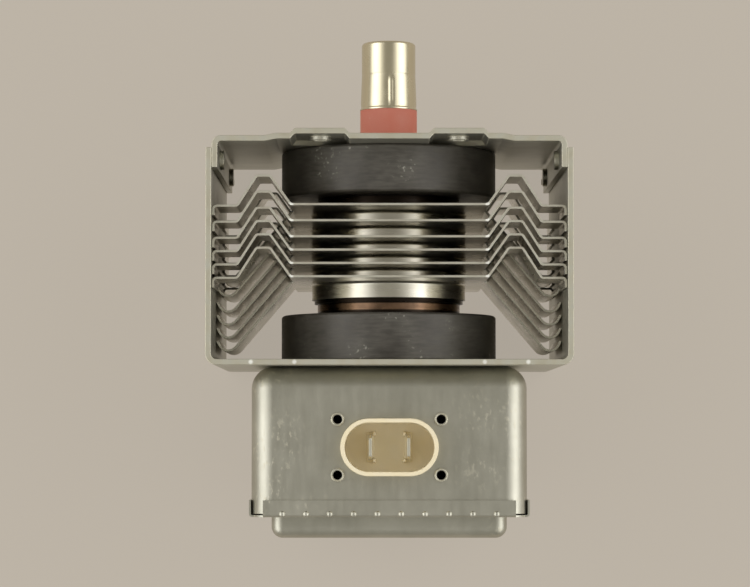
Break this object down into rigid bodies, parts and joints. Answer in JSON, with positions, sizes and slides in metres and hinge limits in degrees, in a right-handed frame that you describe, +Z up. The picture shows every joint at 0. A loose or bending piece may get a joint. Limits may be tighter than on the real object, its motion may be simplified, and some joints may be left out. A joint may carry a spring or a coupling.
{
  "type": "magnetron",
  "caption": "Microwave-oven magnetron: steel yoke with ring magnets and bent cooling fins, capped antenna, filter box with oval two-blade connector, lying on its back.",
  "frame": {"origin": "where the tube axis meets the mounting plane, at the tops of the four raised pads", "axes": "+Y along the tube towards the antenna, +Z up out of the connector face, +X across the yoke"},
  "size_m": [0.095, 0.1335, 0.08],
  "materials": {
    "zinc_steel": "dull zinc plate",
    "ferrite": "ground ferrite",
    "aluminium": "mill finish sheet",
    "copper": "turned copper",
    "iron": "soft iron",
    "nickel": "nickel plate",
    "pink_ceramic": "matt fired alumina",
    "white_ceramic": "matt fired alumina",
    "refractory": "drawn wire",
    "cream_plastic": "moulded resin"
  },
  "bodies": {
    "root": {"yoke_bracket": "zinc_steel", "yoke_top_plate": "zinc_steel", "filter_box": "zinc_steel", "filter_lid": "zinc_steel", "capacitor_earth_plate": "zinc_steel", "upper_magnet": "ferrite", "lower_magnet": "ferrite", "choke_core_left": "ferrite", "choke_core_right": "ferrite", "cooling_fin_1": "aluminium", "cooling_fin_2": "aluminium", "cooling_fin_3": "aluminium", "cooling_fin_4": "aluminium", "cooling_fin_5": "aluminium", "cooling_fin_6": "aluminium", "anode_cylinder": "copper", "anode_vanes": "copper", "upper_inner_strap": "copper", "upper_outer_strap": "copper", "lower_inner_strap": "copper", "lower_outer_strap": "copper", "exhaust_tube": "copper", "antenna_lead": "copper", "choke_coil_left": "copper", "choke_coil_right": "copper", "upper_pole_piece": "iron", "lower_pole_piece": "iron", "upper_seal_cup": "nickel", "lower_seal_cup": "nickel", "antenna_cap": "nickel", "stem_terminal_left": "nickel", "stem_terminal_right": "nickel", "terminal_blade_left": "nickel", "terminal_blade_right": "nickel", "antenna_ceramic": "pink_ceramic", "stem_ceramic": "white_ceramic", "capacitor_block": "white_ceramic", "cathode_filament": "refractory", "upper_end_shield": "refractory", "lower_end_shield": "refractory", "centre_rod": "refractory", "side_rod": "refractory", "capacitor_outer_case": "cream_plastic", "capacitor_inner_case": "cream_plastic"}
  },
  "joints": []
}
